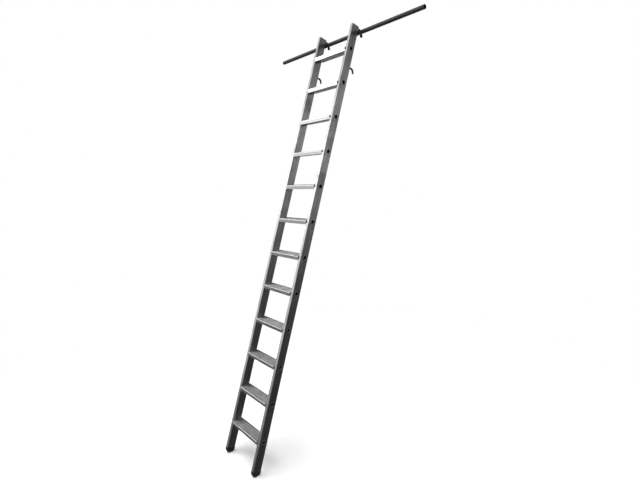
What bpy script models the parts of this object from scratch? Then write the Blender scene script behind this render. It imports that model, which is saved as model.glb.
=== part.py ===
import math

import bmesh
import bpy
from mathutils import Matrix, Vector

for item in list(bpy.data.objects):
    bpy.data.objects.remove(item, do_unlink=True)

# Driving dimensions, in metres and radians
lean = math.radians(20.0)      # ladder leans back from upright
overall_width = 0.407          # outside to outside of the two stringers
stringer_thickness = 0.026     # along X
stringer_depth = 0.0633        # front to back
stringer_wall = 0.0016
stringer_length = 3.236
first_tread = 0.170            # front edge of the lowest tread, measured up the stringer
tread_pitch = 0.260            # measured up the stringer
tread_count = 12
tread_depth = 0.084
tread_height = 0.030
tread_skin = 0.0022
rib_height = 0.0011
rib_pitch = 0.0060
tube_outer = 0.0135            # swaged tube through each tread and both stringers
tube_bore = 0.0120
flare_radius = 0.0160
rail_radius = 0.0150
rail_wall = 0.0020
rail_half = 0.805
rail_station = 3.204           # rail centre, measured up the stringer
rail_clearance = 0.0030        # between the rail and the backs of the stringers
glide_wall = 0.0015
glide_flange = 0.0195
glide_half = 0.0100
glide_groove = 0.0081
hook_radius = 0.0070
hook_head = 0.0094
upper_leg = 0.0245
lower_leg = 0.0150
lower_station = 2.903          # centre of the parking hooks, measured up the stringer
foot_drop = 0.0450             # floor below the front corner of the stringer's end
gap = 0.0003                   # between touching pieces
rivet_places = ((3.183, 0.0215), (3.197, 0.0390))

up = Vector((0.0, math.sin(lean), math.cos(lean)))
back = Vector((0.0, math.cos(lean), -math.sin(lean)))
hook_bend = rail_radius + gap + glide_wall + gap + hook_radius
rail_depth = stringer_depth + rail_clearance + rail_radius
stringer_x = (overall_width - stringer_thickness) / 2
inner_x = overall_width / 2 - stringer_thickness
sleeve_radius = 0.0098
sleeve_top = -0.0112
sleeve_tip = -0.0280
foot_lip = 0.0020
toe_round = 0.0400
heel_round = 0.0140

rail_from_base = up * rail_station + back * rail_depth
front_reach = -0.0050           # foremost point of the foot's rounded toe
back_reach = rail_from_base.y + hook_bend + sleeve_radius
base = Vector((0.0, -(front_reach + back_reach) / 2, foot_drop))
rail_centre = base + rail_from_base
lower_centre = base + up * lower_station + back * rail_depth


def new_collection(label):
    group = bpy.data.collections.new(label)
    bpy.context.scene.collection.children.link(group)
    return group


ladder_group = new_collection("hook_on_rail_ladder")
cutter_group = new_collection("cutters")


def new_material(label, colour, metallic, roughness):
    material = bpy.data.materials.new(label)
    material.use_nodes = True
    shader = material.node_tree.nodes["Principled BSDF"]
    shader.inputs["Base Color"].default_value = (*colour, 1.0)
    shader.inputs["Metallic"].default_value = metallic
    shader.inputs["Roughness"].default_value = roughness
    material.diffuse_color = (*colour, 1.0)
    return material


stringer_metal = new_material("stringer_aluminium", (0.62, 0.63, 0.64), 1.0, 0.35)
tread_metal = new_material("tread_aluminium", (0.66, 0.67, 0.68), 1.0, 0.30)
rail_steel = new_material("rail_steel", (0.16, 0.165, 0.17), 0.7, 0.40)
hook_steel = new_material("hook_steel", (0.36, 0.36, 0.35), 0.9, 0.40)
black_rubber = new_material("black_rubber", (0.02, 0.02, 0.022), 0.0, 0.65)
cap_plastic = new_material("cap_plastic", (0.22, 0.22, 0.23), 0.0, 0.50)
glide_plastic = new_material("glide_plastic", (0.03, 0.03, 0.03), 0.0, 0.45)
rivet_metal = new_material("rivet_metal", (0.75, 0.75, 0.75), 1.0, 0.30)


def make_object(label, mesh_data, material, place, parent=None, turn=0.0):
    item = bpy.data.objects.new(label, mesh_data)
    if material:
        mesh_data.materials.append(material)
    origin = parent.location if parent else Vector((0.0, 0.0, 0.0))
    item.location = place - origin
    item.rotation_euler = (turn, 0.0, 0.0)
    item.parent = parent
    ladder_group.objects.link(item)
    return item


def finish_mesh(label, build):
    bmesh.ops.recalc_face_normals(build, faces=build.faces[:])
    mesh_data = bpy.data.meshes.new(label)
    build.to_mesh(mesh_data)
    build.free()
    return mesh_data


def rounded(half_a, half_b, radius, steps, centre_a=0.0, centre_b=0.0):
    points = []
    corners = ((1, 1, 0.0), (-1, 1, 90.0), (-1, -1, 180.0), (1, -1, 270.0))
    for side_a, side_b, start in corners:
        for step in range(steps + 1):
            angle = math.radians(start + 90.0 * step / steps)
            a = centre_a + side_a * (half_a - radius) + radius * math.cos(angle)
            b = centre_b + side_b * (half_b - radius) + radius * math.sin(angle)
            points.append((a, b))
    return points


def circle(radius, steps, centre_a=0.0, centre_b=0.0):
    points = []
    for step in range(steps):
        angle = 2 * math.pi * step / steps
        points.append((centre_a + radius * math.cos(angle), centre_b + radius * math.sin(angle)))
    return points


def add_ring(build, points, turned_x):
    """Turned_x None keeps points as XYZ; a number puts (y, z) points at that X."""
    if turned_x is None:
        return [build.verts.new(point) for point in points]
    return [build.verts.new((turned_x, a, b)) for a, b in points]


def bridge(build, first, second):
    count = len(first)
    for index in range(count):
        following = (index + 1) % count
        build.faces.new((first[index], first[following], second[following], second[index]))


def fill_cap(build, rings):
    edges = []
    for ring in rings:
        count = len(ring)
        for index in range(count):
            pair = (ring[index], ring[(index + 1) % count])
            edge = build.edges.get(pair)
            edges.append(edge if edge else build.edges.new(pair))
    bmesh.ops.triangle_fill(build, use_beauty=True, edges=edges)


def sole_at(depth):
    return (-foot_drop + depth * math.sin(lean)) / math.cos(lean)


def under_curve(wall, land, share):
    """A rounded corner from the boot's wall to its level land, as (depth, height)."""
    weights = ((1 - share) ** 2, 1.4142 * share * (1 - share), share ** 2)
    places = ((wall, -0.0040), (wall, sole_at(wall)), (land, sole_at(land)))
    total = sum(weights)
    return tuple(sum(w * place[axis] for w, place in zip(weights, places)) / total for axis in (0, 1))


def loft(label, rings):
    build = bmesh.new()
    made = [add_ring(build, ring, None) for ring in rings]
    for first, second in zip(made, made[1:]):
        bridge(build, first, second)
    build.faces.new(made[0])
    build.faces.new(made[-1])
    return finish_mesh(label, build)


def turned(label, profile, steps, start=0.0, sweep=360.0):
    """Sweep a closed (x, radius) outline about the X axis."""
    closed = sweep > 359.9
    build = bmesh.new()
    count = steps if closed else steps + 1
    rings = []
    for step in range(count):
        angle = math.radians(start + sweep * step / steps)
        rings.append([
            build.verts.new((x, radius * math.cos(angle), radius * math.sin(angle)))
            for x, radius in profile
        ])
    for step in range(steps):
        bridge(build, rings[step], rings[(step + 1) % count])
    if not closed:
        fill_cap(build, [rings[0]])
        fill_cap(build, [rings[-1]])
    return finish_mesh(label, build)


def swept_rod(label, path, sides):
    """Sweep a circle along (y, z, radius) stations in the YZ plane."""
    build = bmesh.new()
    rings = []
    heading = Vector((0.0, 1.0, 0.0))
    for index, (y, z, radius) in enumerate(path):
        before = path[max(index - 1, 0)]
        after = path[min(index + 1, len(path) - 1)]
        span = Vector((0.0, after[0] - before[0], after[1] - before[1]))
        heading = span.normalized() if span.length > 1e-6 else heading
        normal = Vector((0.0, -heading.z, heading.y))
        ring = []
        for step in range(sides):
            angle = 2 * math.pi * step / sides
            offset = Vector((radius * math.sin(angle), 0.0, 0.0)) + normal * (radius * math.cos(angle))
            ring.append(build.verts.new(Vector((0.0, y, z)) + offset))
        rings.append(ring)
    for first, second in zip(rings, rings[1:]):
        bridge(build, first, second)
    build.faces.new(rings[0])
    build.faces.new(rings[-1])
    return finish_mesh(label, build)


def cut(target, cutters):
    for cutter in cutters:
        cutter_group.objects.link(cutter)
        cutter.hide_render = True
        cutter.display_type = "WIRE"
        boolean = target.modifiers.new("cut", "BOOLEAN")
        boolean.operation = "DIFFERENCE"
        boolean.solver = "EXACT"
        boolean.object = cutter


def cylinder_between(build, start, end, radius, sides):
    axis = (end - start).normalized()
    turn = axis.to_track_quat("Z", "Y").to_matrix().to_4x4()
    place = Matrix.Translation((start + end) / 2) @ turn
    length = (end - start).length
    bmesh.ops.create_cone(
        build, cap_ends=True, segments=sides, radius1=radius, radius2=radius, depth=length, matrix=place
    )


def cutter_object(label, build):
    mesh_data = bpy.data.meshes.new(label)
    build.to_mesh(mesh_data)
    build.free()
    return bpy.data.objects.new(label, mesh_data)


# Pivots: the glides travel along the rail, and the ladder swings about it
travel_pivot = bpy.data.objects.new("travel_pivot", None)
travel_pivot.location = rail_centre
ladder_group.objects.link(travel_pivot)
swing_pivot = bpy.data.objects.new("swing_pivot", None)
swing_pivot.location = rail_centre
ladder_group.objects.link(swing_pivot)

# Rail: a length of open round tube
rail_inner = rail_radius - rail_wall
rail_outline = [
    (-rail_half, rail_inner),
    (-rail_half, rail_radius - 0.0004),
    (-rail_half + 0.0004, rail_radius),
    (rail_half - 0.0004, rail_radius),
    (rail_half, rail_radius - 0.0004),
    (rail_half, rail_inner),
]
make_object("rail", turned("rail", rail_outline, 48), rail_steel, rail_centre)


def local_point(station, depth):
    return base + up * station + back * depth


def tread_outline():
    points = []

    def arc(centre_y, centre_z, radius, start, stop, steps):
        for step in range(steps + 1):
            angle = math.radians(start + (stop - start) * step / steps)
            points.append((centre_y + radius * math.cos(angle), centre_z + radius * math.sin(angle)))

    floor_z = tread_height - rib_height
    arc(0.003, 0.003, 0.003, 270.0, 180.0, 3)
    arc(0.006, floor_z - 0.006, 0.006, 180.0, 90.0, 4)
    rib_count = int((tread_depth - 0.014) / rib_pitch)
    first_rib = (tread_depth - rib_count * rib_pitch) / 2 + 0.0008
    for rib in range(rib_count):
        y = first_rib + rib * rib_pitch
        points.append((y, floor_z))
        points.append((y + 0.0010, tread_height))
        points.append((y + 0.0034, tread_height))
        points.append((y + 0.0044, floor_z))
    arc(tread_depth - 0.003, floor_z - 0.003, 0.003, 90.0, 0.0, 3)
    arc(tread_depth - 0.003, 0.003, 0.003, 0.0, -90.0, 3)
    return points


tube_y = tread_depth / 2
tube_z = tread_height / 2


def tread_mesh(label):
    """Ribbed hollow tread with its through tube flared over the outside of the stringers."""
    half_body = inner_x - gap
    seat = overall_width / 2 + gap
    front_hollow = rounded(0.0118, 0.0126, 0.002, 2, tread_skin + 0.0121, tube_z - 0.0004)
    rear_hollow = rounded(0.0118, 0.0126, 0.002, 2, tread_depth - tread_skin - 0.0121, tube_z - 0.0004)
    outer = tread_outline()
    tube_ring = circle(tube_outer, 20, tube_y, tube_z)
    bore_ring = circle(tube_bore, 20, tube_y, tube_z)
    build = bmesh.new()
    bodies = []
    tips = []
    for side in (-1, 1):
        rings = [add_ring(build, loop, side * half_body) for loop in (outer, front_hollow, rear_hollow)]
        tube = add_ring(build, tube_ring, side * half_body)
        fill_cap(build, rings + [tube])
        bodies.append(rings)
        stations = (
            (seat, tube_outer),
            (seat, flare_radius - 0.0004),
            (seat + 0.0008, flare_radius),
            (seat + 0.0018, flare_radius - 0.0014),
            (seat + 0.0010, tube_bore + 0.0010),
        )
        current = tube
        for x, radius in stations:
            following = add_ring(build, circle(radius, 20, tube_y, tube_z), side * x)
            bridge(build, current, following)
            current = following
        bore = add_ring(build, bore_ring, side * (seat - 0.0012))
        bridge(build, current, bore)
        tips.append(bore)
    for first, second in zip(*bodies):
        bridge(build, first, second)
    bridge(build, *tips)
    return finish_mesh(label, build)


tread_shape = tread_mesh("tread_shape")
tread_centres = []
for number in range(1, tread_count + 1):
    corner = local_point(first_tread + (number - 1) * tread_pitch, 0.0)
    tread_centres.append(corner + Vector((0.0, tube_y, tube_z)))
    label = f"tread_{number:02d}"
    make_object(label, tread_shape.copy(), tread_metal, corner, swing_pivot)
bpy.data.meshes.remove(tread_shape)


def hook_path(leg, rounded_end):
    """Level shank from inside the stringer, over the rail and down behind it."""
    entry = (-(rail_clearance + rail_radius) + hook_bend * math.sin(lean)) / math.cos(lean)
    head = entry - 0.0055
    path = [
        (head - 0.0100, hook_bend, hook_radius - 0.0010),
        (head - 0.0092, hook_bend, hook_radius),
        (head - 0.0065, hook_bend, hook_radius),
        (head - 0.0060, hook_bend, hook_head),
        (head - 0.0005, hook_bend, hook_head),
        (head, hook_bend, hook_radius),
        (entry + 0.0020, hook_bend, hook_radius),
    ]
    for step in range(13):
        angle = math.radians(90.0 - 90.0 * step / 12)
        path.append((hook_bend * math.cos(angle), hook_bend * math.sin(angle), hook_radius))
    end = 0.0022 if rounded_end else 0.0010
    path.append((hook_bend, -leg + end, hook_radius))
    path.append((hook_bend, -leg + end * 0.35, hook_radius - end * 0.4))
    path.append((hook_bend, -leg, hook_radius - end))
    return path


rivet_outline = [
    (0.0, 0.0045),
    (0.0006, 0.0046),
    (0.0016, 0.0036),
    (0.0021, 0.0020),
    (0.0022, 0.0006),
]

for side, word in ((-1, "left"), (1, "right")):
    centre_x = Vector((side * stringer_x, 0.0, 0.0))

    # Glide: a flanged saddle between the upper hook and the rail
    inner = rail_radius + gap
    outer = inner + glide_wall
    glide_outline = [
        (-glide_half, inner),
        (glide_half, inner),
        (glide_half, glide_flange),
        (glide_groove, glide_flange),
        (glide_groove, outer),
        (-glide_groove, outer),
        (-glide_groove, glide_flange),
        (-glide_half, glide_flange),
    ]
    glide = turned(f"glide_{word}", glide_outline, 20, -25.0, 120.0)
    make_object(f"glide_{word}", glide, glide_plastic, rail_centre + centre_x, travel_pivot)

    # Stringer: rectangular tube, drilled for the tread tubes, the hooks and the rivets
    half_a = stringer_thickness / 2
    half_b = stringer_depth / 2
    section = [
        rounded(half_a, half_b, 0.0030, 4),
        rounded(half_a - stringer_wall, half_b - stringer_wall, 0.0014, 2),
    ]
    build = bmesh.new()
    ends = []
    for height in (0.0, stringer_length):
        rings = [add_ring(build, [(a, b + half_b, height) for a, b in loop], None) for loop in section]
        fill_cap(build, rings)
        ends.append(rings)
    for first, second in zip(*ends):
        bridge(build, first, second)
    stringer_mesh = finish_mesh(f"stringer_{word}", build)
    stringer = make_object(
        f"stringer_{word}", stringer_mesh, stringer_metal, base + centre_x, swing_pivot, -lean
    )

    holes = bmesh.new()
    across = Vector((0.030, 0.0, 0.0))
    for centre in tread_centres:
        cylinder_between(
            holes, centre + centre_x - across, centre + centre_x + across, tube_outer + gap, 20
        )
    tread_holes = cutter_object(f"tread_holes_{word}", holes)

    holes = bmesh.new()
    for centre in (rail_centre, lower_centre):
        shank = centre + centre_x + Vector((0.0, 0.0, hook_bend))
        cylinder_between(
            holes, shank + Vector((0.0, -0.018, 0.0)), shank + Vector((0.0, -0.004, 0.0)),
            hook_radius + gap, 20,
        )
    hook_holes = cutter_object(f"hook_holes_{word}", holes)

    holes = bmesh.new()
    for station, depth in rivet_places:
        head = local_point(station, depth) + Vector((side * overall_width / 2, 0.0, 0.0))
        reach = Vector((side * 0.004, 0.0, 0.0))
        cylinder_between(holes, head - reach, head + reach, 0.0024 + gap, 16)
    rivet_holes = cutter_object(f"rivet_holes_{word}", holes)
    cut(stringer, [tread_holes, hook_holes, rivet_holes])

    # Rivets on the outside of the stringer near its top
    for number, (station, depth) in enumerate(rivet_places, 1):
        place = local_point(station, depth) + Vector((side * (overall_width / 2 + gap), 0.0, 0.0))
        stem = [(-0.0052, 0.0008), (-0.0050, 0.0024), (0.0, 0.0024)]
        outline = [(side * x, radius) for x, radius in stem + rivet_outline]
        rings = []
        for x, radius in outline:
            rings.append([(x, y, z) for y, z in circle(radius, 16)])
        label = f"rivet_{word}_{number}"
        make_object(label, loft(label, rings), rivet_metal, place, swing_pivot)

    # Hooks: the upper pair carries the ladder, the lower pair parks it
    make_object(
        f"hook_upper_{word}", swept_rod("hook_upper", hook_path(upper_leg, False), 16),
        hook_steel, rail_centre + centre_x, swing_pivot,
    )
    make_object(
        f"hook_lower_{word}", swept_rod("hook_lower", hook_path(lower_leg, True), 16),
        hook_steel, lower_centre + centre_x, swing_pivot,
    )

    # Sleeve over the tip of each upper hook
    fit = hook_radius + gap
    rings = []
    for radius, z in (
        (fit, -upper_leg - gap), (fit, sleeve_top), (sleeve_radius - 0.0007, sleeve_top),
        (sleeve_radius, sleeve_top - 0.0007), (sleeve_radius, sleeve_tip + 0.0032),
        (sleeve_radius - 0.0012, sleeve_tip + 0.0010), (sleeve_radius - 0.0040, sleeve_tip),
    ):
        rings.append([(a, b + hook_bend, z) for a, b in circle(radius, 20)])
    make_object(
        f"hook_sleeve_{word}", loft("hook_sleeve", rings), black_rubber,
        rail_centre + centre_x, swing_pivot,
    )

    # Top cap: a thin lid with a lip inside the tube
    lip = stringer_wall + gap
    rings = []
    for inset, height in (
        (lip + 0.0004, -0.0040), (lip, -0.0036), (lip, gap), (0.0, gap),
        (0.0, 0.0020), (0.0005, 0.0027), (0.0014, 0.0030),
    ):
        radius = max(0.0030 - inset, 0.0010)
        ring = rounded(half_a - inset, half_b - inset, radius, 3, 0.0, half_b)
        rings.append([(a, b, height) for a, b in ring])
    make_object(
        f"top_cap_{word}", loft("top_cap", rings), cap_plastic,
        local_point(stringer_length, 0.0) + centre_x, swing_pivot, -lean,
    )

    # Foot: a plug in the tube over a boot that rolls under at toe and heel to a level land
    toe = -foot_lip
    heel = stringer_depth + foot_lip
    rings = []
    for inset, height in ((lip + 0.0006, 0.0360), (lip, 0.0350), (lip, -gap)):
        ring = rounded(half_a - inset, half_b - inset, 0.0012, 3, 0.0, half_b)
        rings.append([(a, b, height) for a, b in ring])
    half_width = half_a + 0.0015
    ring = rounded(half_width, (heel - toe) / 2, 0.0045, 3, 0.0, half_b)
    rings.append([(a, b, -gap) for a, b in ring])
    for share in (0.0, 0.2, 0.4, 0.6, 0.8, 1.0):
        front_v, front_s = under_curve(toe, toe + toe_round, share)
        rear_v, rear_s = under_curve(heel, heel - heel_round, share)
        middle = (front_v + rear_v) / 2
        half_v = (rear_v - front_v) / 2
        ring = rounded(half_width - 0.0030 * share * share, half_v, 0.0045, 3, 0.0, middle)
        tilt = (rear_s - front_s) / (rear_v - front_v)
        rings.append([(a, b, front_s + (b - front_v) * tilt) for a, b in ring])
    make_object(
        f"foot_{word}", loft("foot", rings), black_rubber, base + centre_x, swing_pivot, -lean
    )
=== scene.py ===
import math

import bmesh
import bpy
from mathutils import Euler, Matrix, Quaternion, Vector


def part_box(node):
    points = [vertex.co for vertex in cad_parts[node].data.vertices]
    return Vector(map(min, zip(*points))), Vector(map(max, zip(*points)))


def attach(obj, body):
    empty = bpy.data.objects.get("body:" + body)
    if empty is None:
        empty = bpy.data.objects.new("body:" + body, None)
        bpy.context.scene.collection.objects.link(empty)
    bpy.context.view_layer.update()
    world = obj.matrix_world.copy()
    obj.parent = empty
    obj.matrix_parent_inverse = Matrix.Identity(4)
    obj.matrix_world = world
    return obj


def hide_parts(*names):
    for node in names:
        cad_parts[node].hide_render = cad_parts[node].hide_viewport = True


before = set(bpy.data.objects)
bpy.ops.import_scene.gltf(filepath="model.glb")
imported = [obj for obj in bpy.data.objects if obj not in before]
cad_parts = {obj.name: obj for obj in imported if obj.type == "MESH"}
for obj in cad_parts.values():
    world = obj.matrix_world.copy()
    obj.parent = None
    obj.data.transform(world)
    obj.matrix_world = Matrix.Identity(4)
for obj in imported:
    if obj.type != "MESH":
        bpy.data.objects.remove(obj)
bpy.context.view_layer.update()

print("frame loaded")

# The ladder leans back; station is measured up the stringer and depth from its front face
ladder = {
    "lean": math.radians(20.0),
    "width": 0.407,
    "thickness": 0.026,
    "depth": 0.0633,
    "wall": 0.0016,
    "length": 3.236,
    "cornerRadius": 0.0030,
    "gap": 0.0003,
}
lean = ladder["lean"]
upStringer = Vector((0.0, math.sin(lean), math.cos(lean)))
throughStringer = Vector((0.0, math.cos(lean), -math.sin(lean)))
stringerLow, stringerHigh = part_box("stringer_left")
base = Vector((0.0, stringerLow.y, stringerHigh.z - ladder["length"] * math.cos(lean)))
railLow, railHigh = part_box("rail")
railCentre = (railLow + railHigh) / 2
sideX = (ladder["width"] - ladder["thickness"]) / 2
sides = ((-1, "left"), (1, "right"))


def fromBase(station, depth, x=0.0):
    return base + upStringer * station + throughStringer * depth + Vector((x, 0.0, 0.0))


# ---- shader helpers
def addNode(tree, kind, **settings):
    node = tree.nodes.new(kind)
    for key, value in settings.items():
        setattr(node, key, value)
    return node


def feed(tree, value, socket):
    if isinstance(value, bpy.types.NodeSocket):
        tree.links.new(value, socket)
    else:
        socket.default_value = value


def mathOf(tree, operation, first, second=0.0, third=None, clamp=False):
    node = addNode(tree, "ShaderNodeMath", operation=operation, use_clamp=clamp)
    feed(tree, first, node.inputs[0])
    feed(tree, second, node.inputs[1])
    if third is not None:
        feed(tree, third, node.inputs[2])
    return node.outputs[0]


def spread(tree, value, low, high, toLow=0.0, toHigh=1.0, smooth=False):
    node = addNode(tree, "ShaderNodeMapRange", clamp=True)
    if smooth:
        node.interpolation_type = "SMOOTHSTEP"
    for index, item in enumerate((value, low, high, toLow, toHigh)):
        feed(tree, item, node.inputs[index])
    return node.outputs[0]


def mixColour(tree, factor, first, second):
    node = addNode(tree, "ShaderNodeMix", data_type="RGBA")
    feed(tree, factor, node.inputs[0])
    feed(tree, first, node.inputs[6])
    feed(tree, second, node.inputs[7])
    return node.outputs[2]


def vectorOf(tree, operation, first, second):
    node = addNode(tree, "ShaderNodeVectorMath", operation=operation)
    feed(tree, first, node.inputs[0])
    feed(tree, second, node.inputs[1])
    return node.outputs["Value"] if operation == "DOT_PRODUCT" else node.outputs[0]


def noiseOf(tree, vector, scale, detail=3.0, roughness=0.55):
    node = addNode(tree, "ShaderNodeTexNoise")
    feed(tree, vector, node.inputs["Vector"])
    feed(tree, scale, node.inputs["Scale"])
    node.inputs["Detail"].default_value = detail
    node.inputs["Roughness"].default_value = roughness
    return node.outputs["Fac"]


def startGroup(name, inputs, outputs):
    group = bpy.data.node_groups.new(name, "ShaderNodeTree")
    for label, kind, value in inputs:
        socket = group.interface.new_socket(name=label, in_out="INPUT", socket_type=kind)
        socket.default_value = value
    for label in outputs:
        group.interface.new_socket(name=label, in_out="OUTPUT", socket_type="NodeSocketFloat")
    return group, addNode(group, "NodeGroupInput").outputs, addNode(group, "NodeGroupOutput").inputs


def shiftedObject(tree):
    # object coordinates, moved by a number of the piece's own so that twins differ
    farthest = 37.0
    where = addNode(tree, "ShaderNodeTexCoord").outputs["Object"]
    own = addNode(tree, "ShaderNodeObjectInfo").outputs["Random"]
    return vectorOf(tree, "ADD", where, mathOf(tree, "MULTIPLY", own, farthest))


number = "NodeSocketFloat"
vector = "NodeSocketVector"

# lines left by drawing the metal through its die
grainGroup, given, out = startGroup(
    "drawnGrain",
    [("Stretch", vector, (600.0, 600.0, 6.0)), ("Fine", number, 3.0)],
    ["Grain", "Lines"],
)
stretched = vectorOf(grainGroup, "MULTIPLY", shiftedObject(grainGroup), given["Stretch"])
broadGrain = noiseOf(grainGroup, stretched, 1.0, 3.0, 0.6)
fineGrain = noiseOf(grainGroup, stretched, given["Fine"], 2.0, 0.5)
broadPart = mathOf(grainGroup, "MULTIPLY", broadGrain, 0.6)
feed(grainGroup, mathOf(grainGroup, "MULTIPLY_ADD", fineGrain, 0.4, broadPart), out["Grain"])
feed(grainGroup, spread(grainGroup, broadGrain, 0.60, 0.72), out["Lines"])

# rubbed edges, broken up so that they are not an even line
wearGroup, given, out = startGroup(
    "edgeWear",
    [("Radius", number, 0.001), ("Gain", number, 6.0), ("Patch Scale", number, 40.0)],
    ["Wear"],
)
softNormal = addNode(wearGroup, "ShaderNodeBevel", samples=4)
feed(wearGroup, given["Radius"], softNormal.inputs["Radius"])
flatNormal = addNode(wearGroup, "ShaderNodeNewGeometry").outputs["Normal"]
alike = vectorOf(wearGroup, "DOT_PRODUCT", softNormal.outputs[0], flatNormal)
turning = mathOf(wearGroup, "SUBTRACT", 1.0, alike)
patches = noiseOf(wearGroup, shiftedObject(wearGroup), given["Patch Scale"], 4.0, 0.6)
edge = mathOf(wearGroup, "MULTIPLY", turning, given["Gain"], clamp=True)
feed(wearGroup, mathOf(wearGroup, "MULTIPLY", edge, spread(wearGroup, patches, 0.36, 0.62)), out["Wear"])

# hand marks and handling haze
smudgeGroup, given, out = startGroup(
    "handMarks",
    [("Scale", number, 9.0), ("Low", number, 0.42), ("High", number, 0.68)],
    ["Marks"],
)
where = shiftedObject(smudgeGroup)
cloudy = noiseOf(smudgeGroup, where, given["Scale"], 5.0, 0.62)
feed(smudgeGroup, spread(smudgeGroup, cloudy, given["Low"], given["High"], smooth=True), out["Marks"])

# short thin scratches in two directions
scratchGroup, given, out = startGroup(
    "scratches",
    [("Scale", number, 1.0), ("Amount", number, 0.5)],
    ["Scratch"],
)
strokes = []
scratchRuns = (((0.5, 0.3, 0.2), (18.0, 900.0, 900.0)), ((-0.7, 0.9, 0.6), (900.0, 25.0, 900.0)))
for turn, stretch in scratchRuns:
    mapping = addNode(scratchGroup, "ShaderNodeMapping")
    feed(scratchGroup, shiftedObject(scratchGroup), mapping.inputs["Vector"])
    mapping.inputs["Rotation"].default_value = turn
    mapping.inputs["Scale"].default_value = stretch
    stroke = noiseOf(scratchGroup, mapping.outputs[0], given["Scale"], 1.0, 0.4)
    strokes.append(spread(scratchGroup, stroke, 0.70, 0.76))
gathered = mathOf(scratchGroup, "MAXIMUM", *strokes)
feed(scratchGroup, mathOf(scratchGroup, "MULTIPLY", gathered, given["Amount"]), out["Scratch"])

# dust that settles on upward faces
dustGroup, given, out = startGroup(
    "settledDust",
    [("Scale", number, 60.0), ("Amount", number, 0.5)],
    ["Dust"],
)
normalParts = addNode(dustGroup, "ShaderNodeSeparateXYZ")
feed(dustGroup, addNode(dustGroup, "ShaderNodeNewGeometry").outputs["Normal"], normalParts.inputs[0])
facingUp = spread(dustGroup, normalParts.outputs["Z"], 0.35, 0.95)
powdery = noiseOf(dustGroup, shiftedObject(dustGroup), given["Scale"], 5.0, 0.7)
settled = mathOf(dustGroup, "MULTIPLY", facingUp, spread(dustGroup, powdery, 0.42, 0.70))
feed(dustGroup, mathOf(dustGroup, "MULTIPLY", settled, given["Amount"]), out["Dust"])


def useGroup(tree, group, **values):
    node = addNode(tree, "ShaderNodeGroup", node_tree=group)
    for label, value in values.items():
        feed(tree, value, node.inputs[label.replace("_", " ")])
    return node.outputs


def startMaterial(name):
    material = bpy.data.materials.new(name)
    material.use_nodes = True
    tree = material.node_tree
    shader = tree.nodes["Principled BSDF"]
    return material, tree, shader.inputs


def bumpFrom(tree, height, strength, distance, sockets):
    bump = addNode(tree, "ShaderNodeBump")
    bump.inputs["Strength"].default_value = strength
    bump.inputs["Distance"].default_value = distance
    feed(tree, height, bump.inputs["Height"])
    feed(tree, bump.outputs[0], sockets["Normal"])


def objectParts(tree):
    parts = addNode(tree, "ShaderNodeSeparateXYZ")
    feed(tree, addNode(tree, "ShaderNodeTexCoord").outputs["Object"], parts.inputs[0])
    return parts.outputs


def metalMaterial(name, look):
    material, tree, sockets = startMaterial(name)
    grain = useGroup(tree, grainGroup, Stretch=look["stretch"], Fine=look["fine"])
    wear = useGroup(
        tree, wearGroup, Radius=look["wearRadius"], Gain=look["wearGain"], Patch_Scale=look["wearScale"],
    )
    marks = useGroup(tree, smudgeGroup, Scale=look["markScale"], Low=0.40, High=0.72)
    scratch = useGroup(tree, scratchGroup, Scale=look["scratchScale"], Amount=look["scratchAmount"])
    dust = useGroup(tree, dustGroup, Scale=55.0, Amount=look["dust"])
    toned = mixColour(tree, spread(tree, grain["Grain"], 0.32, 0.66), look["dark"], look["light"])
    hazed = mixColour(tree, mathOf(tree, "MULTIPLY", marks["Marks"], look["haze"]), toned, look["hazeColour"])
    rubbed = mixColour(tree, wear["Wear"], hazed, look["bright"])
    scored = mixColour(tree, scratch["Scratch"], rubbed, look["bright"])
    dusty = mixColour(tree, dust["Dust"], scored, look["dustColour"])
    if look["nose"]:  # front edge painted bright along the nosing: a painted highlight
        noseHighlight = spread(tree, objectParts(tree)["Y"], *look["nose"], 1.0, 0.0)
        noseHighlight = mathOf(tree, "MULTIPLY", noseHighlight, spread(tree, grain["Grain"], 0.3, 0.6, 0.7, 1.0))
        dusty = mixColour(tree, noseHighlight, dusty, look["noseHighlightColour"])
    if look["groove"]:  # painted shade between the ribs, below the given height, varied by the hand-mark noise
        height = objectParts(tree)["Z"]
        low, high, deepest = look["groove"]
        between = spread(tree, height, deepest, deepest + 0.0002)
        between = mathOf(tree, "MULTIPLY", between, spread(tree, height, low, high, 1.0, 0.0))
        grooveShade = mathOf(tree, "MULTIPLY", between, spread(tree, marks["Marks"], 0.0, 1.0, 0.55, 0.95))
        dusty = mixColour(tree, grooveShade, dusty, look["grooveShadeColour"])
    feed(tree, dusty, sockets["Base Color"])
    dulled = mathOf(tree, "MULTIPLY", dust["Dust"], 0.5)
    feed(tree, mathOf(tree, "SUBTRACT", look["metallic"], dulled, clamp=True), sockets["Metallic"])
    smoothest = look["roughness"] - look["grainRough"] / 2
    rough = mathOf(tree, "MULTIPLY_ADD", grain["Grain"], look["grainRough"], smoothest)
    rough = mathOf(tree, "MULTIPLY_ADD", marks["Marks"], look["markRough"], rough)
    rough = mathOf(tree, "MULTIPLY_ADD", wear["Wear"], -0.10, rough, clamp=True)
    feed(tree, rough, sockets["Roughness"])
    height = mathOf(tree, "MULTIPLY_ADD", scratch["Scratch"], -0.8, grain["Grain"])
    height = mathOf(tree, "MULTIPLY_ADD", grain["Lines"], -0.7, height)
    bumpFrom(tree, height, look["bump"], look["bumpDepth"], sockets)
    return material


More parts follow.
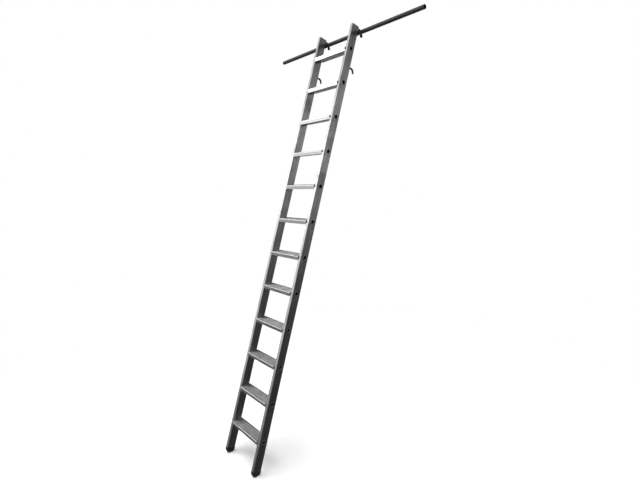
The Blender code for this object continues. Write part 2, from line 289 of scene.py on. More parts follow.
def metalLook(**changes):
    look = {
        "stretch": (170.0, 170.0, 3.5), "fine": 4.0,
        "dark": (0.24, 0.24, 0.225, 1.0), "light": (0.76, 0.76, 0.735, 1.0),
        "bright": (0.86, 0.86, 0.85, 1.0), "haze": 0.60, "hazeColour": (0.27, 0.27, 0.25, 1.0),
        "dust": 0.10, "dustColour": (0.52, 0.50, 0.47, 1.0),
        "metallic": 1.0, "roughness": 0.31, "grainRough": 0.16, "markRough": 0.10,
        "wearRadius": 0.0009, "wearGain": 5.0, "wearScale": 45.0, "markScale": 7.0,
        "nose": None, "noseHighlightColour": (0.93, 0.93, 0.92, 1.0),
        "groove": None, "grooveShadeColour": (0.13, 0.13, 0.125, 1.0),
        "scratchScale": 1.0, "scratchAmount": 0.20, "bump": 0.35, "bumpDepth": 0.00012,
    }
    look.update(changes)
    return look


stringerAluminium = metalMaterial("stringerAluminium", metalLook())
treadAluminium = metalMaterial("treadAluminium", metalLook(
    stretch=(4.0, 500.0, 500.0), roughness=0.36, dust=0.16, scratchAmount=0.35, markScale=16.0,
    # nose paints a highlight band on the front edge; groove paints shade between the ribs
    groove=(0.0290, 0.0297, 0.0284), nose=(0.0010, 0.0050),
    dark=(0.26, 0.275, 0.29, 1.0), light=(0.74, 0.765, 0.785, 1.0),
    hazeColour=(0.36, 0.375, 0.39, 1.0), haze=0.4,
))
flareAluminium = metalMaterial("flareAluminium", metalLook(
    stretch=(250.0, 60.0, 60.0), roughness=0.28, dust=0.0, light=(0.74, 0.74, 0.74, 1.0),
    wearRadius=0.0005,
))
sawnAluminium = metalMaterial("sawnAluminium", metalLook(
    stretch=(60.0, 300.0, 40.0), metallic=0.35, roughness=0.55, dark=(0.34, 0.34, 0.335, 1.0),
    light=(0.52, 0.52, 0.51, 1.0), haze=0.2, dust=0.05, scratchAmount=0.0,
))
railSteel = metalMaterial("railSteel", metalLook(
    stretch=(7.0, 420.0, 420.0), metallic=0.55, roughness=0.36, dark=(0.022, 0.022, 0.021, 1.0),
    light=(0.060, 0.060, 0.058, 1.0), bright=(0.20, 0.195, 0.185, 1.0),
    hazeColour=(0.045, 0.042, 0.037, 1.0), haze=0.5, dust=0.30, dustColour=(0.24, 0.235, 0.22, 1.0),
    scratchAmount=0.30,
))
boreSteel = metalMaterial("boreSteel", metalLook(
    stretch=(7.0, 300.0, 300.0), metallic=0.1, roughness=0.5, dark=(0.62, 0.62, 0.61, 1.0),
    light=(0.78, 0.78, 0.76, 1.0), bright=(0.7, 0.7, 0.7, 1.0), dust=0.0,
))
# the tread tubes' bores are painted near-black: painted shade inside the holes
tubeBore = metalMaterial("tubeBore", metalLook(
    stretch=(30.0, 200.0, 200.0), metallic=0.6, roughness=0.7, dark=(0.010, 0.010, 0.010, 1.0),
    light=(0.030, 0.030, 0.029, 1.0), bright=(0.05, 0.05, 0.05, 1.0),
    hazeColour=(0.012, 0.012, 0.011, 1.0), dust=0.0,
))
hookSteel = metalMaterial("hookSteel", metalLook(
    stretch=(300.0, 120.0, 120.0), roughness=0.42, dark=(0.12, 0.12, 0.115, 1.0),
    light=(0.22, 0.22, 0.21, 1.0), bright=(0.45, 0.45, 0.43, 1.0),
    hazeColour=(0.15, 0.145, 0.13, 1.0), haze=0.6, markScale=60.0, dust=0.12,
))
rivetMetal = metalMaterial("rivetMetal", metalLook(
    stretch=(500.0, 500.0, 500.0), roughness=0.30, wearRadius=0.0004, dust=0.0,
    light=(0.76, 0.76, 0.76, 1.0),
))
print("metals made")


def mouldedMaterial(name, look):
    # moulded rubber or plastic: fine spark texture, scuffs on its edges and dust on top
    material, tree, sockets = startMaterial(name)
    where = shiftedObject(tree)
    sparks = noiseOf(tree, where, look["sparkScale"], 2.0, 0.7)
    wear = useGroup(tree, wearGroup, Radius=look["wearRadius"], Gain=look["wearGain"], Patch_Scale=120.0)
    marks = useGroup(tree, smudgeGroup, Scale=look["markScale"], Low=0.45, High=0.75)
    dust = useGroup(tree, dustGroup, Scale=140.0, Amount=look["dust"])
    toned = mixColour(tree, marks["Marks"], look["colour"], look["scuffed"])
    rubbed = mixColour(tree, wear["Wear"], toned, look["rubbed"])
    feed(tree, mixColour(tree, dust["Dust"], rubbed, look["dustColour"]), sockets["Base Color"])
    rough = mathOf(tree, "MULTIPLY_ADD", sparks, 0.25, look["roughness"] - 0.12)
    feed(tree, mathOf(tree, "MULTIPLY_ADD", marks["Marks"], 0.12, rough, clamp=True), sockets["Roughness"])
    bumpFrom(tree, sparks, 0.4, look["sparkDepth"], sockets)
    sockets["Specular IOR Level"].default_value = look["specular"]
    return material


rubberLook = {
    "colour": (0.012, 0.012, 0.013, 1.0), "scuffed": (0.030, 0.030, 0.030, 1.0),
    "rubbed": (0.075, 0.072, 0.068, 1.0), "dustColour": (0.20, 0.19, 0.17, 1.0), "dust": 0.35,
    "roughness": 0.68, "sparkScale": 1400.0, "sparkDepth": 0.0001, "wearRadius": 0.0012, "wearGain": 3.0,
    "markScale": 50.0, "specular": 0.35,
}
blackRubber = mouldedMaterial("blackRubber", rubberLook)
capPlastic = mouldedMaterial("capPlastic", {
    **rubberLook, "colour": (0.085, 0.085, 0.088, 1.0), "scuffed": (0.12, 0.12, 0.12, 1.0),
    "rubbed": (0.22, 0.22, 0.22, 1.0), "roughness": 0.5, "specular": 0.5,
})
glidePlastic = mouldedMaterial("glidePlastic", {
    **rubberLook, "colour": (0.018, 0.018, 0.019, 1.0), "roughness": 0.42, "specular": 0.5, "dust": 0.15,
})
print("moulded materials made")


# ---- mesh helpers
def roundedLoop(halfA, halfB, radius, steps, centreA=0.0, centreB=0.0):
    loop = []
    for signA, signB, start in ((1, 1, 0.0), (-1, 1, 90.0), (-1, -1, 180.0), (1, -1, 270.0)):
        for step in range(steps + 1):
            angle = math.radians(start + 90.0 * step / steps)
            loop.append((
                centreA + signA * (halfA - radius) + radius * math.cos(angle),
                centreB + signB * (halfB - radius) + radius * math.sin(angle),
            ))
    return loop


def circleLoop(radius, steps, centreA=0.0, centreB=0.0):
    turns = [2 * math.pi * step / steps for step in range(steps)]
    return [(centreA + radius * math.cos(turn), centreB + radius * math.sin(turn)) for turn in turns]


def bridge(build, first, second, slotIndex=0):
    count = len(first)
    for index in range(count):
        after = (index + 1) % count
        face = build.faces.new((first[index], first[after], second[after], second[index]))
        face.material_index = slotIndex


def ringOf(build, points):
    return [build.verts.new(point) for point in points]


def capWith(build, rings, slotIndex=0):
    edges = []
    for ring in rings:
        for index, vertex in enumerate(ring):
            pair = (vertex, ring[(index + 1) % len(ring)])
            edges.append(build.edges.get(pair) or build.edges.new(pair))
    for item in bmesh.ops.triangle_fill(build, use_beauty=True, edges=edges)["geom"]:
        if isinstance(item, bmesh.types.BMFace):
            item.material_index = slotIndex


def loftMesh(rings, closeEnds=True):
    build = bmesh.new()
    made = [ringOf(build, ring) for ring in rings]
    for first, second in zip(made, made[1:]):
        bridge(build, first, second)
    if closeEnds:
        build.faces.new(made[0])
        build.faces.new(made[-1])
    return build


def latheMesh(outline, steps, start=0.0, sweep=360.0):
    # a closed (x, radius) outline swept about the X axis
    closed = sweep > 359.9
    build = bmesh.new()
    rings = []
    for step in range(steps if closed else steps + 1):
        angle = math.radians(start + sweep * step / steps)
        rings.append(ringOf(build, [(x, r * math.cos(angle), r * math.sin(angle)) for x, r in outline]))
    for step in range(steps):
        bridge(build, rings[step], rings[(step + 1) % len(rings)])
    if not closed:
        capWith(build, [rings[0]])
        capWith(build, [rings[-1]])
    return build


def rodMesh(path, sideCount):
    # a round bar along (y, z, radius) stations
    build = bmesh.new()
    rings = []
    heading = Vector((0.0, 1.0, 0.0))
    for index, (y, z, radius) in enumerate(path):
        before = path[max(index - 1, 0)]
        after = path[min(index + 1, len(path) - 1)]
        span = Vector((0.0, after[0] - before[0], after[1] - before[1]))
        heading = span.normalized() if span.length > 1e-6 else heading
        normal = Vector((0.0, -heading.z, heading.y))
        centre = Vector((0.0, y, z))
        loop = circleLoop(radius, sideCount)
        rings.append(ringOf(build, [centre + Vector((a, 0.0, 0.0)) + normal * b for a, b in loop]))
    for first, second in zip(rings, rings[1:]):
        bridge(build, first, second)
    build.faces.new(rings[0])
    build.faces.new(rings[-1])
    return build


def finishPiece(name, build, materials, body, replaced, place, turn=0.0, sharp=32.0, weighted=True):
    bmesh.ops.recalc_face_normals(build, faces=build.faces[:])
    mesh = bpy.data.meshes.new(name)
    build.to_mesh(mesh)
    build.free()
    finishMesh(name, mesh, materials, body, replaced, place, turn, sharp, weighted)


def finishMesh(name, mesh, materials, body, replaced, place, turn=0.0, sharp=32.0, weighted=True):
    for polygon in mesh.polygons:
        polygon.use_smooth = True
    mesh.set_sharp_from_angle(angle=math.radians(sharp))
    mesh.materials.clear()
    for material in materials:
        mesh.materials.append(material)
    piece = bpy.data.objects.new(name, mesh)
    bpy.context.scene.collection.objects.link(piece)
    piece.location = place
    piece.rotation_euler = (turn, 0.0, 0.0)
    if weighted:
        settle = piece.modifiers.new("faceNormals", "WEIGHTED_NORMAL")
        settle.keep_sharp = True
    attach(piece, body)
    if replaced:
        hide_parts(*replaced)


# ---- rail
rail = {"radius": 0.0150, "wall": 0.0020, "half": 0.805, "lip": 0.0005, "steps": 96, "clearance": 0.0030}
outer, inner, half, lip = rail["radius"], rail["radius"] - rail["wall"], rail["half"], rail["lip"]
halfOutline = [
    (half - lip * 3, outer), (half - lip, outer - lip * 0.3), (half, outer - lip), (half, inner + lip),
    (half - lip, inner),
]
stations = [-0.6, -0.3, 0.0, 0.3, 0.6]  # rings along the tube, so that its faces stay short
outline = [(x, outer) for x in stations] + halfOutline
outline += [(x, inner) for x in reversed(stations)] + [(-x, r) for x, r in reversed(halfOutline)]
railBuild = latheMesh(outline, rail["steps"])
for face in railBuild.faces:
    middle = face.calc_center_median()
    if math.hypot(middle.y, middle.z) < inner + 0.0004:
        face.material_index = 1
finishPiece("railTube", railBuild, [railSteel, boreSteel], "rail", ["rail"], railCentre)
print("rail made")

# ---- treads
tread = {
    "count": 12, "first": 0.170, "pitch": 0.260, "depth": 0.084, "height": 0.030,
    "ribHeight": 0.0011, "ribPitch": 0.0060, "ribTop": 0.0026, "ribMargin": 0.014,
    "noseStep": 0.0016, "noseHeight": 0.0150, "noseRadius": 0.0045, "crease": 0.0006, "corner": 0.0025,
    "hollows": ((0.0189, 0.0074), (0.0699, 0.0114)), "hollowHeight": 0.0118, "hollowCorner": 0.0022,
    "tubeOuter": 0.0135, "tubeBore": 0.0120, "flare": 0.0160, "steps": 48,
}
tubeY, tubeZ = tread["depth"] / 2, tread["height"] / 2


def treadOutline():
    points = []

    def arc(centreY, centreZ, radius, start, stop, steps):
        for step in range(steps + 1):
            angle = math.radians(start + (stop - start) * step / steps)
            points.append((centreY + radius * math.cos(angle), centreZ + radius * math.sin(angle)))

    depth, height, stepIn, noseHeight = tread["depth"], tread["height"], tread["noseStep"], tread["noseHeight"]
    floorZ = height - tread["ribHeight"]
    corner, crease, nose = tread["corner"], tread["crease"], tread["noseRadius"]
    arc(stepIn + corner, corner, corner, 270.0, 180.0, 5)
    arc(stepIn - crease, height - noseHeight - crease, crease, 0.0, 90.0, 3)  # shadow line under the nosing
    arc(crease, height - noseHeight + crease, crease, 270.0, 180.0, 3)
    arc(nose, floorZ - nose, nose, 180.0, 90.0, 7)
    pitch, top = tread["ribPitch"], tread["ribTop"]
    ribCount = int((depth - tread["ribMargin"]) / pitch)
    firstRib = (depth - ribCount * pitch) / 2 + (pitch - top) / 2
    for rib in range(ribCount):
        y = firstRib + rib * pitch
        points.extend((
            (y - 0.0006, floorZ), (y - 0.0002, floorZ + 0.0006), (y + 0.0003, height - 0.0001),
            (y + 0.0008, height), (y + top - 0.0008, height), (y + top - 0.0003, height - 0.0001),
            (y + top + 0.0002, floorZ + 0.0006), (y + top + 0.0006, floorZ),
        ))
    arc(depth - corner, floorZ - corner, corner, 90.0, 0.0, 5)
    arc(depth - corner, corner, corner, 0.0, -90.0, 5)
    return points


def treadBuild():
    build = bmesh.new()
    bodyHalf = ladder["width"] / 2 - ladder["thickness"] - ladder["gap"]
    seat = ladder["width"] / 2 + ladder["gap"]
    steps = tread["steps"]
    hollows = [
        roundedLoop(halfDepth, tread["hollowHeight"], tread["hollowCorner"], 4, middle, tubeZ - 0.0004)
        for middle, halfDepth in tread["hollows"]
    ]
    bodies, tips = [], []
    flare, bore, tube = tread["flare"], tread["tubeBore"], tread["tubeOuter"]
    roll = [
        (seat - 0.0001, tube), (seat, tube + 0.0004), (seat, flare - 0.0006),
        (seat + 0.0002, flare - 0.0002), (seat + 0.0007, flare), (seat + 0.0013, flare - 0.0003),
        (seat + 0.0017, flare - 0.0010), (seat + 0.0018, flare - 0.0018), (seat + 0.0015, bore + 0.0019),
        (seat + 0.0007, bore + 0.0010), (seat - 0.0004, bore + 0.0004), (seat - 0.0020, bore + 0.0001),
        (seat - 0.0040, bore),
    ]
    # boreSlot takes the near-black painted-shade material for the inside of the tube
    flareSlot, boreSlot, sawnSlot = 1, 2, 3
    for side in (-1, 1):
        loops = [treadOutline()] + hollows + [circleLoop(tube, steps, tubeY, tubeZ)]
        *rings, current = [ringOf(build, [(side * bodyHalf, y, z) for y, z in loop]) for loop in loops]
        capWith(build, rings + [current], sawnSlot)
        bodies.append(rings)
        for x, radius in roll:
            following = ringOf(build, [(side * x, y, z) for y, z in circleLoop(radius, steps, tubeY, tubeZ)])
            bridge(build, current, following, boreSlot if radius < bore + 0.0006 else flareSlot)
            current = following
        tips.append(current)
    for first, second in zip(*bodies):
        bridge(build, first, second)
    bridge(build, *tips, boreSlot)
    return build


treadCentres = []
treadMaterials = [treadAluminium, flareAluminium, tubeBore, sawnAluminium]
for count in range(1, tread["count"] + 1):
    corner = fromBase(tread["first"] + (count - 1) * tread["pitch"], 0.0)
    treadCentres.append(corner + Vector((0.0, tubeY, tubeZ)))
    finishPiece(
        f"ribbedTread{count:02d}", treadBuild(), treadMaterials, "ladder",
        [f"tread_{count:02d}"], corner,
    )
print("treads made")

# ---- hooks
hook = {
    "radius": 0.0070, "bend": 0.0241, "upperLeg": 0.0245, "lowerLeg": 0.0150, "station": 2.903,
    "steps": 28, "sideCount": 32, "head": 0.0094, "dome": 0.0030,
}
railDepth = ladder["depth"] + rail["clearance"] + rail["radius"]
lowerCentre = fromBase(hook["station"], railDepth)
entryY = (-(railDepth - ladder["depth"]) + hook["bend"] * math.sin(lean)) / math.cos(lean)


def hookPath(leg, domed):
    bend, radius, head = hook["bend"], hook["radius"], entryY - 0.0055
    path = [
        (head - 0.0100, bend, radius - 0.0010), (head - 0.0092, bend, radius), (head - 0.0065, bend, radius),
        (head - 0.0060, bend, hook["head"]), (head - 0.0005, bend, hook["head"]), (head, bend, radius),
        (entryY + 0.0020, bend, radius),
    ]
    for step in range(hook["steps"] + 1):
        angle = math.radians(90.0 - 90.0 * step / hook["steps"])
        path.append((bend * math.cos(angle), bend * math.sin(angle), radius))
    if domed:
        dome = hook["dome"]
        for step in range(7):
            angle = math.radians(90.0 * step / 6)
            inset = (1 - math.cos(angle)) * radius * 0.85
            path.append((bend, -leg + dome - dome * math.sin(angle), radius - inset))
    else:
        path.extend(((bend, -leg + 0.0010, radius), (bend, -leg, radius - 0.0010)))
    return path


def cylinderInto(build, start, end, radius, steps):
    turn = (end - start).normalized().to_track_quat("Z", "Y").to_matrix().to_4x4()
    bmesh.ops.create_cone(
        build, cap_ends=True, segments=steps, radius1=radius, radius2=radius, depth=(end - start).length,
        matrix=Matrix.Translation((start + end) / 2) @ turn,
    )


collar = {"outer": 0.0118, "thickness": 0.0014, "steps": 40}
sleeve = {"radius": 0.0098, "top": -0.0112, "tip": -0.0280, "ribs": 3, "firstRib": 0.0030, "ribPitch": 0.0036}
glide = {
    "outer": 0.0168, "flange": 0.0195, "half": 0.0100, "groove": 0.0081, "ease": 0.0004,
    "start": -25.0, "sweep": 120.0, "steps": 40,
}


def glideBuild():
    inside = rail["radius"] + ladder["gap"]
    half, groove, flange, seat, ease = (glide[key] for key in ("half", "groove", "flange", "outer", "ease"))
    right = [
        (half - ease, inside), (half, inside + ease), (half, flange - ease),
        (half - ease * 0.4, flange - ease * 0.3), (half - ease, flange), (groove + ease, flange),
        (groove + ease * 0.3, flange - ease * 0.4), (groove, flange - ease), (groove, seat + ease),
        (groove - ease, seat),
    ]
    left = [(-x, r) for x, r in reversed(right)]
    return latheMesh(right + left, glide["steps"], glide["start"], glide["sweep"])


def sleeveBuild():
    bend, fit, radius, top = hook["bend"], hook["radius"] + ladder["gap"], sleeve["radius"], sleeve["top"]
    stations = [(fit, -hook["upperLeg"] - ladder["gap"]), (fit, top), (radius - 0.0008, top)]
    stations += [(radius - 0.0002, top - 0.0003), (radius, top - 0.0008)]
    for rib in range(sleeve["ribs"]):  # shallow grip rings round the sleeve
        z = top - sleeve["firstRib"] - rib * sleeve["ribPitch"]
        stations += [(radius, z), (radius - 0.0004, z - 0.0003)]
        stations += [(radius - 0.0004, z - 0.0009), (radius, z - 0.0012)]
    for step in range(7):
        angle = math.radians(90.0 * step / 6)
        inset, rise = 0.0045 * (1 - math.cos(angle)), 0.0035 * (1 - math.sin(angle))
        stations.append((radius - inset, sleeve["tip"] + rise))
    return loftMesh([[(a, b + bend, z) for a, b in circleLoop(r, 32)] for r, z in stations])


for side, word in sides:
    across = Vector((side * sideX, 0.0, 0.0))
    hookRows = (("upper", railCentre, hook["upperLeg"]), ("lower", lowerCentre, hook["lowerLeg"]))
    for level, centre, leg in hookRows:
        finishPiece(
            f"{level}Hook.{word}", rodMesh(hookPath(leg, level == "lower"), hook["sideCount"]), [hookSteel],
            "ladder", [f"hook_{level}_{word}"], centre + across,
        )
        # collar pressed round the shank on the back of the stringer
        middle = centre + across + Vector((0.0, entryY, hook["bend"]))
        hole, rim, thick = hook["radius"] + 0.0006, collar["outer"], collar["thickness"]
        rings = []
        for radius, depth in (
            (hole, ladder["gap"]), (rim - 0.0006, ladder["gap"]), (rim, 0.0005), (rim, thick - 0.0006),
            (rim - 0.0006, thick), (hole + 0.0006, thick), (hole, thick - 0.0006),
        ):
            rings.append([(a, depth, b) for a, b in circleLoop(radius, collar["steps"])])
        collarBuild = loftMesh(rings + [rings[0]], False)
        bmesh.ops.remove_doubles(collarBuild, verts=collarBuild.verts[:], dist=1e-6)
        finishPiece(
            f"{level}Collar.{word}", collarBuild, [rivetMetal], "ladder", [], middle, -lean,
        )
    finishPiece(
        f"hookSleeve.{word}", sleeveBuild(), [blackRubber], "ladder", [f"hook_sleeve_{word}"],
        railCentre + across,
    )
    finishPiece(
        f"glide.{word}", glideBuild(), [glidePlastic], "glides", [f"glide_{word}"],
        railCentre + across, sharp=50.0,
    )
print("hooks, sleeves and glides made")

# ---- stringers
rivet = {
    "places": ((3.183, 0.0215), (3.197, 0.0390)), "stem": 0.0024, "head": 0.0046, "rise": 0.0022,
    "root": 0.0052, "rim": 0.0003,
}


def stringerMesh(name, side):
    halfA, halfB = ladder["thickness"] / 2, ladder["depth"] / 2
    wall, radius = ladder["wall"], ladder["cornerRadius"]
    section = [
        roundedLoop(halfA, halfB, radius, 8),
        roundedLoop(halfA - wall, halfB - wall, radius - wall, 4),
    ]
    build = bmesh.new()
    ends = []
    for height in (0.0, ladder["length"]):
        rings = [ringOf(build, [(a, b + halfB, height) for a, b in loop]) for loop in section]
        capWith(build, rings)
        ends.append(rings)
    for first, second in zip(*ends):
        bridge(build, first, second)
    bmesh.ops.recalc_face_normals(build, faces=build.faces[:])
    mesh = bpy.data.meshes.new(name)
    build.to_mesh(mesh)
    build.free()
    across = Vector((side * sideX, 0.0, 0.0))
    tube = bpy.data.objects.new(name + "Draft", mesh)
    tube.location = base + across
    tube.rotation_euler = (-lean, 0.0, 0.0)
    bpy.context.scene.collection.objects.link(tube)
    reach, gap = Vector((0.030, 0.0, 0.0)), ladder["gap"]
    cutters = bmesh.new()
    for centre in treadCentres:
        cylinderInto(cutters, centre + across - reach, centre + across + reach, tread["tubeOuter"] + gap, 40)
    for centre in (railCentre, lowerCentre):
        shank = centre + across + Vector((0.0, 0.0, hook["bend"]))
        front, behind = Vector((0.0, -0.018, 0.0)), Vector((0.0, -0.004, 0.0))
        cylinderInto(cutters, shank + front, shank + behind, hook["radius"] + gap, 32)
    for station, depth in rivet["places"]:
        head = fromBase(station, depth, side * ladder["width"] / 2)
        into = Vector((side * 0.004, 0.0, 0.0))
        cylinderInto(cutters, head - into, head + into, rivet["stem"] + gap, 24)
    cutMesh = bpy.data.meshes.new(name + "Cutters")
    cutters.to_mesh(cutMesh)
    cutters.free()
    cutter = bpy.data.objects.new(name + "Cutters", cutMesh)
    bpy.context.scene.collection.objects.link(cutter)
    boolean = tube.modifiers.new("drill", "BOOLEAN")
    boolean.operation = "DIFFERENCE"
    boolean.solver = "EXACT"
    boolean.object = cutter
    bpy.context.view_layer.update()
    evaluated = tube.evaluated_get(bpy.context.evaluated_depsgraph_get())
    drilled = bpy.data.meshes.new_from_object(evaluated)
    for leftover in (tube, cutter):
        bpy.data.objects.remove(leftover)
    return drilled


for side, word in sides:
    finishMesh(
        f"stringerTube.{word}", stringerMesh(f"stringer{word.title()}", side), [stringerAluminium],
        "ladder", [f"stringer_{word}"], base + Vector((side * sideX, 0.0, 0.0)), -lean,
    )
    for count, (station, depth) in enumerate(rivet["places"], 1):
        stem, head, rise, rim, root = (rivet[key] for key in ("stem", "head", "rise", "rim", "root"))
        dimple = 0.0014
        profile = [(-root, 0.0008), (0.0002 - root, stem), (0.0, stem), (0.0, head - 0.0002), (rim, head)]
        for step in range(1, 7):
            angle = math.radians(75.0 * step / 6)
            out = dimple + (head - dimple) * math.cos(angle)
            profile.append((rim + (rise - rim) * math.sin(angle), out))
        profile += [(rise - 0.0004, 0.0013), (rise - 0.0009, 0.0011), (rise - 0.0010, 0.0004)]
        rings = [[(side * x, y, z) for y, z in circleLoop(radius, 32)] for x, radius in profile]
        finishPiece(
            f"rivet{count}.{word}", loftMesh(rings), [rivetMetal], "ladder",
            [f"rivet_{word}_{count}"], fromBase(station, depth, side * (ladder["width"] / 2 + ladder["gap"])),
            sharp=50.0,
        )
print("stringers and rivets made")

# ---- caps and feet
cap = {"thick": 0.0030, "lip": 0.0040}
foot = {
    "lip": 0.0020, "drop": 0.0450, "toeRound": 0.040, "heelRound": 0.014, "steps": 18, "bead": 0.0040,
    "plug": 0.0360, "side": 0.0015, "pinch": 0.0010, "tuck": 0.0020, "middleWeight": 1.4142,
}


def capBuild():
    halfA, halfB = ladder["thickness"] / 2, ladder["depth"] / 2
    gap = ladder["gap"]
    lip = ladder["wall"] + gap
    stations = [  # inset from the tube's outside, and height above its end
        (lip + 0.0004, -cap["lip"]), (lip, -cap["lip"] + 0.0004), (lip, gap), (0.0002, gap),
        (0.0, gap + 0.0002), (0.0, 0.0017), (0.0002, 0.0022), (0.0007, 0.0026), (0.0014, 0.0028), (0.0028, 0.0029),
        (0.0060, cap["thick"]),
    ]
    rings = []
    for inset, height in stations:
        radius = max(ladder["cornerRadius"] - inset * 0.5, 0.0011)
        ring = roundedLoop(halfA - inset, halfB - inset, radius, 6, 0.0, halfB)
        rings.append([(a, b, height) for a, b in ring])
    return loftMesh(rings)


def footBuild():
    # a moulded boot: plug, bead round the tube's end, then a toe that rolls under to a level sole
    halfA, halfB = ladder["thickness"] / 2, ladder["depth"] / 2
    lip = ladder["wall"] + ladder["gap"]
    rings = []
    for inset, height in ((lip + 0.0006, foot["plug"]), (lip, foot["plug"] - 0.0010), (lip, -ladder["gap"])):
        ring = roundedLoop(halfA - inset, halfB - inset, 0.0012, 6, 0.0, halfB)
        rings.append([(a, b, height) for a, b in ring])
    toe, heel = -foot["lip"], ladder["depth"] + foot["lip"]
    halfWidth = halfA + foot["side"]

    def soleAt(depth):
        return (-foot["drop"] + depth * math.sin(lean)) / math.cos(lean)

    def underCurve(wall, land, share):
        weights = ((1 - share) ** 2, foot["middleWeight"] * share * (1 - share), share ** 2)
        places = ((wall, -foot["bead"]), (wall, soleAt(wall)), (land, soleAt(land)))
        return [sum(w * place[axis] for w, place in zip(weights, places)) / sum(weights) for axis in (0, 1)]

    def addRing(inset, front, rear, frontHeight, rearHeight, radius):
        middle, halfLength = (front + rear) / 2, (rear - front) / 2
        tilt = (rearHeight - frontHeight) / (rear - front)
        ring = roundedLoop(halfWidth - inset, halfLength, radius, 6, 0.0, middle)
        rings.append([(a, b, frontHeight + (b - front) * tilt) for a, b in ring])

    for inset, height in (
        (0.0007, -0.0003), (0.0002, -0.0005), (0.0, -0.0010), (0.0, -0.0025), (0.0002, -0.0031),
        (0.0008, -0.0034), (0.0010, -0.0038),
    ):
        addRing(inset, toe + inset, heel - inset, height, height, 0.0045 - inset)
    pinch = foot["pinch"]
    for step in range(1, foot["steps"] + 1):
        share = step / foot["steps"]
        front = underCurve(toe + pinch, toe + foot["toeRound"], share)
        rear = underCurve(heel - pinch, heel - foot["heelRound"], share)
        tuck = pinch + foot["tuck"] * share * share
        addRing(tuck, front[0], rear[0], front[1], rear[1], 0.0040)
    return loftMesh(rings)


for side, word in sides:
    across = Vector((side * sideX, 0.0, 0.0))
    finishPiece(
        f"topCap.{word}", capBuild(), [capPlastic], "ladder", [f"top_cap_{word}"],
        fromBase(ladder["length"], 0.0) + across, -lean, sharp=50.0,
    )
    finishPiece(
        f"rubberFoot.{word}", footBuild(), [blackRubber], "ladder", [f"foot_{word}"],
        base + across, -lean, sharp=50.0, weighted=False,
    )
print("caps and feet made")

# ---- floor, light and camera
floorLook = {
    "half": 40.0, "sink": 0.0006, "pale": (0.92, 0.92, 0.915, 1.0), "paler": (0.95, 0.95, 0.945, 1.0),
    "fade": (1.5, 3.4), "roughness": 0.9, "specular": 0.1,
}
half = floorLook["half"]
floorMesh = bpy.data.meshes.new("floorSheet")
corners = [(-half, -half, 0), (half, -half, 0), (half, half, 0), (-half, half, 0)]
floorMesh.from_pydata(corners, [], [(0, 1, 2, 3)])
floor = bpy.data.objects.new("floorSheet", floorMesh)
floor.location.z = -floorLook["sink"]
bpy.context.scene.collection.objects.link(floor)
floorMaterial, tree, sockets = startMaterial("paleFloor")
where = vectorOf(tree, "MULTIPLY", addNode(tree, "ShaderNodeTexCoord").outputs["Object"], (1.0, 1.0, 0.0))
span = addNode(tree, "ShaderNodeVectorMath", operation="LENGTH")
feed(tree, where, span.inputs[0])
powder = noiseOf(tree, where, 3.0, 6.0, 0.6)
feed(tree, mixColour(tree, powder, floorLook["pale"], floorLook["paler"]), sockets["Base Color"])
# the floor melts into the backdrop
feed(tree, spread(tree, span.outputs["Value"], *floorLook["fade"], 1.0, 0.0, smooth=True), sockets["Alpha"])
bumpFrom(tree, noiseOf(tree, where, 400.0, 3.0, 0.6), 0.1, 0.0002, sockets)
sockets["Roughness"].default_value = floorLook["roughness"]
sockets["Specular IOR Level"].default_value = floorLook["specular"]
floorMesh.materials.append(floorMaterial)
floor.visible_glossy = False

world = bpy.data.worlds.new("studio")
bpy.context.scene.world = world
world.use_nodes = True
tree = world.node_tree
backdrop = tree.nodes["Background"]
direction = addNode(tree, "ShaderNodeTexCoord").outputs["Generated"]
heading = addNode(tree, "ShaderNodeSeparateXYZ")
feed(tree, direction, heading.inputs[0])
studio = {  # each list pairs a height, -1 straight down to 1 straight up, with the light from there
    "brightSide": (-0.77, -0.63, 0.0),
    "middleSpread": (-0.6, 0.0),
    "brightSpread": (0.30, 0.72),
    "paleSides": ((0.0, 1.0, 0.0), (-1.0, 0.0, 0.0)),  # straight behind and straight to the left
    "paleSpread": (0.93, 0.99),
    "pale": ((-1.0, 0.30), (-0.3, 0.26), (0.0, 0.34), (0.3, 0.50), (1.0, 0.85)),
    "bright": (
        (-1.0, 0.04), (-0.5, 0.08), (-0.3, 0.04), (-0.20, 0.03), (-0.09, 0.20), (0.05, 1.02), (0.25, 1.28),
        (0.6, 1.34), (1.0, 0.85),
    ),
    "middle": (
        (-1.0, 0.08), (-0.4, 0.20), (-0.2, 0.28), (0.0, 0.46), (0.2, 0.30), (0.5, 0.10), (0.7, 0.18),
        (1.0, 0.80),
    ),
    "dim": (
        (-1.0, 0.02), (-0.55, 0.04), (-0.25, 0.02), (-0.12, 0.05), (-0.01, 0.55), (0.16, 0.68), (0.22, 0.02),
        (0.5, 0.03), (1.0, 0.80),
    ),
}


def skyRamp(stops):
    ramp = addNode(tree, "ShaderNodeValToRGB")
    feed(tree, spread(tree, heading.outputs["Z"], -1.0, 1.0), ramp.inputs[0])
    while len(ramp.color_ramp.elements) < len(stops):
        ramp.color_ramp.elements.new(0.5)
    for element, (height, level) in zip(ramp.color_ramp.elements, stops):
        element.position = (height + 1) / 2
        element.color = (level, level, level, 1.0)
    return ramp.outputs[0]


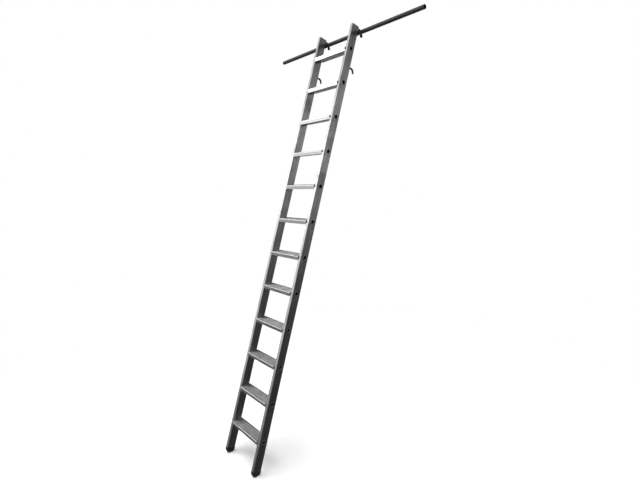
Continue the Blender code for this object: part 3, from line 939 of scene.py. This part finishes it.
towards = vectorOf(tree, "DOT_PRODUCT", direction, studio["brightSide"])
toMiddle = spread(tree, towards, *studio["middleSpread"], smooth=True)
toBright = spread(tree, towards, *studio["brightSpread"], smooth=True)
sky = mixColour(tree, toMiddle, skyRamp(studio["dim"]), skyRamp(studio["middle"]))
sky = mixColour(tree, toBright, sky, skyRamp(studio["bright"]))
flat = vectorOf(tree, "MULTIPLY", direction, (1.0, 1.0, 0.0))
level = vectorOf(tree, "NORMALIZE", flat, (0.0, 0.0, 0.0))
for side in studio["paleSides"]:
    toSide = spread(tree, vectorOf(tree, "DOT_PRODUCT", level, side), *studio["paleSpread"], smooth=True)
    sky = mixColour(tree, toSide, sky, skyRamp(studio["pale"]))
seen = addNode(tree, "ShaderNodeLightPath").outputs["Is Camera Ray"]
feed(tree, mixColour(tree, seen, sky, (1.0, 1.0, 1.0, 1.0)), backdrop.inputs["Color"])
backdrop.inputs["Strength"].default_value = 1.0


# a light that isn't mirrored leaves the metal's reflections to the sky
lights = {
    "overhead": {
        "place": (-0.8, -1.2, 6.5), "target": (-0.4, 0.0, 0.0), "size": 6.0, "power": 420.0, "mirrored": False,
    },
    "leftFront": {
        "place": (-5.0, -3.0, 4.5), "target": (0.0, 0.2, 2.4), "size": 2.0, "power": 30.0, "mirrored": True,
    },
    "rightEnd": {
        "place": (3.8, -1.0, 2.7), "target": (0.8, 0.57, 3.0), "size": 0.8, "power": 45.0, "mirrored": False,
    },
}
for name, look in lights.items():
    data = bpy.data.lights.new(name, "AREA")
    data.shape = "RECTANGLE"
    data.size, data.size_y = look["size"], look["size"]
    data.energy = look["power"]
    light = bpy.data.objects.new(name, data)
    light.location = look["place"]
    aim = Vector(look["target"]) - Vector(look["place"])
    light.rotation_euler = aim.to_track_quat("-Z", "Y").to_euler()
    light.visible_glossy = look["mirrored"]
    bpy.context.scene.collection.objects.link(light)

cameraLook = {
    "place": (2.7755, -1.2889 + base.y, 1.9919 + base.z), "yaw": 52.44, "pitch": -8.57, "roll": -3.37,
    "lens": 25.60, "sensor": 36.0,
}
cameraData = bpy.data.cameras.new("camera")
cameraData.sensor_width = cameraLook["sensor"]
cameraData.lens = cameraLook["lens"]
camera = bpy.data.objects.new("camera", cameraData)
camera.rotation_mode = "QUATERNION"
aim = Euler((math.radians(90.0 + cameraLook["pitch"]), 0.0, math.radians(cameraLook["yaw"]))).to_quaternion()
camera.rotation_quaternion = aim @ Quaternion((0.0, 0.0, 1.0), math.radians(cameraLook["roll"]))
camera.location = cameraLook["place"]
bpy.context.scene.collection.objects.link(camera)
bpy.context.scene.camera = camera
bpy.context.scene.view_settings.view_transform = "Standard"
print("floor, light and camera set")
